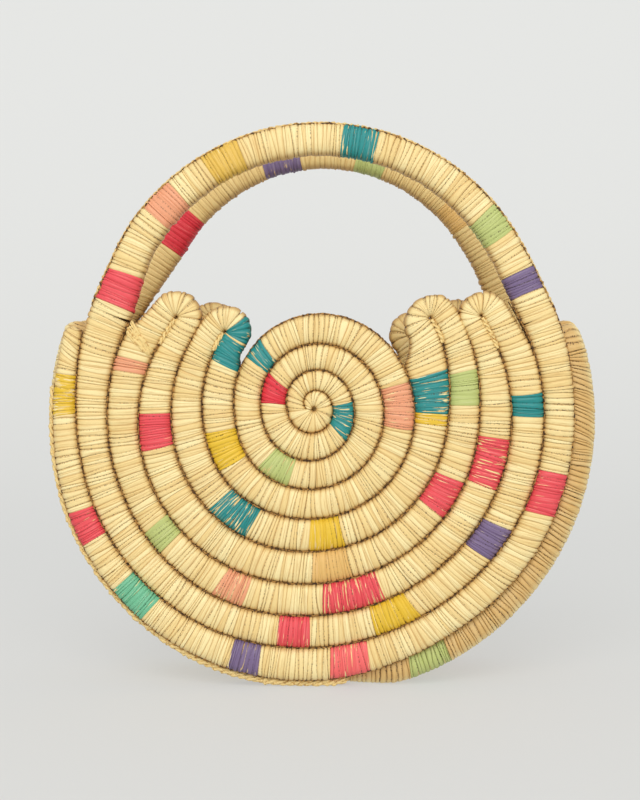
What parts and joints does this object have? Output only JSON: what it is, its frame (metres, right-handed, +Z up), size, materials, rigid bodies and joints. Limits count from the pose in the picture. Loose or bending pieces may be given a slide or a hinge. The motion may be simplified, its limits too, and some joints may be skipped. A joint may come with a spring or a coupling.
{
  "type": "coiled straw purse",
  "caption": "Small round handbag of coiled straw: round front and back panels, a coiled gusset between them and arched carrying handles over an open mouth.",
  "frame": {"origin": "on the surface that the purse stands on, midway between its panels and its sides", "axes": "+Z up, +X to the right as seen from the front, and the front panel faces -Y"},
  "size_m": [0.2782, 0.0772, 0.2839],
  "materials": {
    "straw": "matt wound straw with dyed bands"
  },
  "bodies": {
    "root": {"front_panel": "straw", "front_rim": "straw", "front_handle": "straw", "back_panel": "straw", "back_rim": "straw", "back_handle": "straw", "gusset": "straw"}
  },
  "joints": []
}
